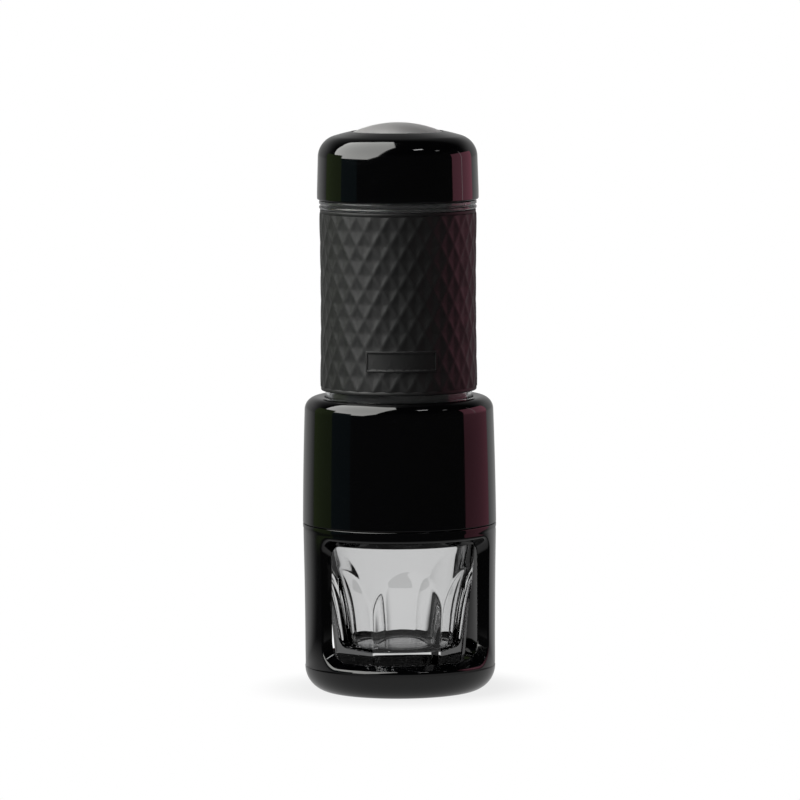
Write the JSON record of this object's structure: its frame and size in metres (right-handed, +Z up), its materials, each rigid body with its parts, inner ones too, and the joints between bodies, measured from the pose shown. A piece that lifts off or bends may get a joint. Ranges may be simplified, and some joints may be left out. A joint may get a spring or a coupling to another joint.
{
  "type": "handheld manual espresso maker",
  "caption": "Upright hand-pumped espresso maker: windowed base with a glass cup, brew head, clear tank in a diamond grip sleeve, and a domed push handle.",
  "frame": {"origin": "on the table, under the middle of the foot", "axes": "+Z up through the handle, -Y out of the front window"},
  "size_m": [0.0738, 0.0738, 0.2169],
  "materials": {
    "black_gloss": "polished black",
    "black_satin": "fine moulded",
    "black_silicone": "matt",
    "seal_silicone": "satin",
    "white_bush": "turned",
    "clear_tank": "clear",
    "cup_glass": "clear",
    "steel": "fine brushed",
    "crown_metal": "satin"
  },
  "bodies": {
    "base": {"base_housing": "black_gloss", "foot_ring": "black_silicone", "cup_mat": "black_silicone"},
    "cup": {"glass_cup": "cup_glass"},
    "head_ring": {"base_seal": "seal_silicone"},
    "head": {"brew_housing": "black_gloss", "lower_plate": "black_satin", "plate_screws": "steel", "spout": "black_satin", "brew_chamber": "black_satin", "basket_gasket": "seal_silicone"},
    "basket": {"coffee_basket": "steel", "basket_filter": "steel"},
    "tank_ring": {"tank_seal": "seal_silicone"},
    "tank": {"water_tank": "clear_tank", "grip_sleeve": "black_silicone", "pump_cylinder": "steel", "valve_block": "black_satin", "shower_screen": "steel", "tank_gasket": "seal_silicone"},
    "valve": {"outlet_valve": "seal_silicone"},
    "lid_ring": {"lid_seal": "seal_silicone"},
    "lid": {"tank_lid": "black_satin", "rod_bushing": "white_bush", "return_spring": "steel"},
    "plunger": {"piston_rod": "steel", "rod_clip": "steel", "piston_head": "white_bush", "piston_seal": "seal_silicone"},
    "handle": {"handle_cap": "black_gloss", "crown_disc": "crown_metal", "handle_core": "black_satin", "core_screws": "steel", "guide_tube": "steel"}
  },
  "joints": [
    {"name": "head_lift", "type": "slide", "parent": "base", "child": "head_ring", "axis": [0, 0, 1], "range_m": [0, 0.12]},
    {"name": "head_turn", "type": "hinge", "parent": "head_ring", "child": "head", "pos_m": [0, 0, 0.0644], "axis": [0, 0, 1], "range_deg": [-30, 0]},
    {"name": "cup_lift", "type": "slide", "parent": "base", "child": "cup", "axis": [0, 0, 1], "range_m": [0, 0.06]},
    {"name": "tank_lift", "type": "slide", "parent": "head", "child": "tank_ring", "axis": [0, 0, 1], "range_m": [0, 0.1]},
    {"name": "tank_turn", "type": "hinge", "parent": "tank_ring", "child": "tank", "pos_m": [0, 0, 0.1125], "axis": [0, 0, 1], "range_deg": [-90, 0]},
    {"name": "basket_lift", "type": "slide", "parent": "head", "child": "basket", "axis": [0, 0, 1], "range_m": [0, 0.05]},
    {"name": "valve_drop", "type": "slide", "parent": "tank", "child": "valve", "axis": [0, 0, 1], "range_m": [-0.0009, 0], "stiffness_N_per_m": 20},
    {"name": "lid_lift", "type": "slide", "parent": "tank", "child": "lid_ring", "axis": [0, 0, 1], "range_m": [0, 0.1]},
    {"name": "lid_turn", "type": "hinge", "parent": "lid_ring", "child": "lid", "pos_m": [0, 0, 0.1875], "axis": [0, 0, 1], "range_deg": [-60, 0]},
    {"name": "pump_stroke", "type": "slide", "parent": "lid", "child": "plunger", "axis": [0, 0, 1], "range_m": [0, 0.034], "deforming": ["return_spring"]},
    {"name": "handle_twist", "type": "hinge", "parent": "plunger", "child": "handle", "pos_m": [0, 0, 0.2], "axis": [0, 0, 1], "range_deg": [-30, 0]}
  ],
  "couplings": [
    {"joint": "cup_lift", "follows": "head_lift", "ratio": 0.5},
    {"joint": "basket_lift", "follows": "tank_lift", "ratio": 0.5}
  ]
}
